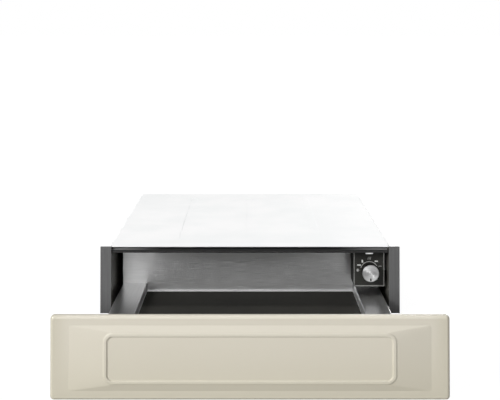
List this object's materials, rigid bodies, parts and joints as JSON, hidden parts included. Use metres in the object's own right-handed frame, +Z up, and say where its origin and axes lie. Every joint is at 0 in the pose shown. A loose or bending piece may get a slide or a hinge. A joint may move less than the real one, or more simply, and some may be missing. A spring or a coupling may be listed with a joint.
{
  "type": "built-in warming drawer",
  "caption": "Built-in warming drawer with an embossed push-open front, a steel tray on ball slides, a fan heater and a recessed knob.",
  "frame": {"origin": "on the niche floor at mid width, in the plane of the cabinet's front edges", "axes": "+X to the right seen from the front, +Y into the cabinet, +Z up"},
  "size_m": [0.597, 0.959, 0.129],
  "materials": {
    "cream_enamel": "satin gloss",
    "galvanised_steel": "dull zinc",
    "dark_steel": "satin",
    "stainless_steel": "brushed",
    "slide_steel": "bright zinc",
    "cage_steel": "plain",
    "black_paint": "gloss",
    "black_plastic": "matte",
    "fascia_plastic": "satin",
    "frame_metal": "satin",
    "lens_plastic": "clear gloss",
    "board": "lacquered",
    "knob_aluminium": "spun",
    "mat_rubber": "matte",
    "screw_steel": "bright",
    "element_steel": "heat tinted",
    "fan_steel": "plain",
    "lamination": "varnished",
    "coil_tape": "taped",
    "latch_plastic": "matte",
    "magnet": "plain",
    "spring_steel": "bright",
    "bakelite": "matte",
    "white_plastic": "matte",
    "gland_plastic": "matte"
  },
  "bodies": {
    "chassis": {"base_pan": "galvanised_steel", "side_panel_left": "dark_steel", "side_panel_right": "dark_steel", "top_cover": "galvanised_steel", "panel_screws": "screw_steel", "rear_panel": "galvanised_steel", "partition": "galvanised_steel", "front_beam": "black_paint", "slide_brackets": "galvanised_steel", "outer_rail_left": "slide_steel", "outer_rail_right": "slide_steel", "control_housing": "black_plastic", "fascia_frame": "frame_metal", "control_fascia": "fascia_plastic", "indicator_lens": "lens_plastic", "indicator_board": "board", "rotary_switch": "black_plastic", "control_bracket": "galvanised_steel", "wire_duct": "black_plastic", "heating_element": "element_steel", "element_supports": "galvanised_steel", "heat_reflector": "galvanised_steel", "temperature_probe": "screw_steel", "safety_cutout": "bakelite", "fan_case": "fan_steel", "motor_stator": "lamination", "motor_coil": "coil_tape", "bearing_bridges": "galvanised_steel", "latch_housings": "latch_plastic", "latch_spring_left": "spring_steel", "latch_spring_right": "spring_steel", "cable_gland": "gland_plastic", "terminal_block": "white_plastic"},
    "drawer": {"front_panel": "cream_enamel", "front_backing": "galvanised_steel", "front_liner": "stainless_steel", "front_brackets": "galvanised_steel", "front_screws": "screw_steel", "drawer_tray": "stainless_steel", "tray_rear_wall": "stainless_steel", "anti_slip_mat": "mat_rubber", "strike_plates": "slide_steel", "inner_rail_left": "slide_steel", "inner_rail_right": "slide_steel"},
    "middle_slide_left": {"middle_rail_left": "slide_steel"},
    "outer_ball_cage_left": {"outer_cage_left": "cage_steel"},
    "inner_ball_cage_left": {"inner_cage_left": "cage_steel"},
    "middle_slide_right": {"middle_rail_right": "slide_steel"},
    "outer_ball_cage_right": {"outer_cage_right": "cage_steel"},
    "inner_ball_cage_right": {"inner_cage_right": "cage_steel"},
    "knob": {"switch_spindle": "screw_steel", "knob_body": "black_plastic", "knob_cap": "knob_aluminium", "knob_pointer": "black_plastic"},
    "fan_rotor": {"fan_impeller": "fan_steel", "fan_spindle": "screw_steel"},
    "latch_pin_left": {"latch_plunger_left": "latch_plastic", "latch_magnet_left": "magnet"},
    "latch_pin_right": {"latch_plunger_right": "latch_plastic", "latch_magnet_right": "magnet"}
  },
  "joints": [
    {"name": "drawer_slide", "type": "slide", "parent": "chassis", "child": "drawer", "axis": [0, -1, 0], "range_m": [-0.403, 0.005]},
    {"name": "middle_left_slide", "type": "slide", "parent": "chassis", "child": "middle_slide_left", "axis": [0, -1, 0], "range_m": [-0.202, 0.003]},
    {"name": "outer_cage_left_slide", "type": "slide", "parent": "chassis", "child": "outer_ball_cage_left", "axis": [0, -1, 0], "range_m": [-0.10125, 0.00175]},
    {"name": "inner_cage_left_slide", "type": "slide", "parent": "chassis", "child": "inner_ball_cage_left", "axis": [0, -1, 0], "range_m": [-0.30275, 0.00425]},
    {"name": "middle_right_slide", "type": "slide", "parent": "chassis", "child": "middle_slide_right", "axis": [0, -1, 0], "range_m": [-0.202, 0.003]},
    {"name": "outer_cage_right_slide", "type": "slide", "parent": "chassis", "child": "outer_ball_cage_right", "axis": [0, -1, 0], "range_m": [-0.10125, 0.00175]},
    {"name": "inner_cage_right_slide", "type": "slide", "parent": "chassis", "child": "inner_ball_cage_right", "axis": [0, -1, 0], "range_m": [-0.30275, 0.00425]},
    {"name": "knob_turn", "type": "hinge", "parent": "chassis", "child": "knob", "pos_m": [0.2355, 0.01, 0.0764], "axis": [0, 1, 0], "range_deg": [0, 250]},
    {"name": "fan_spin", "type": "hinge", "parent": "chassis", "child": "fan_rotor", "pos_m": [-0.11, 0.5, 0.064], "axis": [0, 1, 0], "continuous": true},
    {"name": "latch_left_travel", "type": "slide", "parent": "chassis", "child": "latch_pin_left", "axis": [0, -1, 0], "range_m": [0, 0.015], "deforming": ["latch_spring_left"]},
    {"name": "latch_right_travel", "type": "slide", "parent": "chassis", "child": "latch_pin_right", "axis": [0, -1, 0], "range_m": [0, 0.015], "deforming": ["latch_spring_right"]}
  ],
  "couplings": [
    {"joint": "middle_left_slide", "follows": "drawer_slide", "ratio": 0.5},
    {"joint": "outer_cage_left_slide", "follows": "drawer_slide", "ratio": 0.25},
    {"joint": "inner_cage_left_slide", "follows": "drawer_slide", "ratio": 0.75},
    {"joint": "middle_right_slide", "follows": "drawer_slide", "ratio": 0.5},
    {"joint": "outer_cage_right_slide", "follows": "drawer_slide", "ratio": 0.25},
    {"joint": "inner_cage_right_slide", "follows": "drawer_slide", "ratio": 0.75}
  ]
}
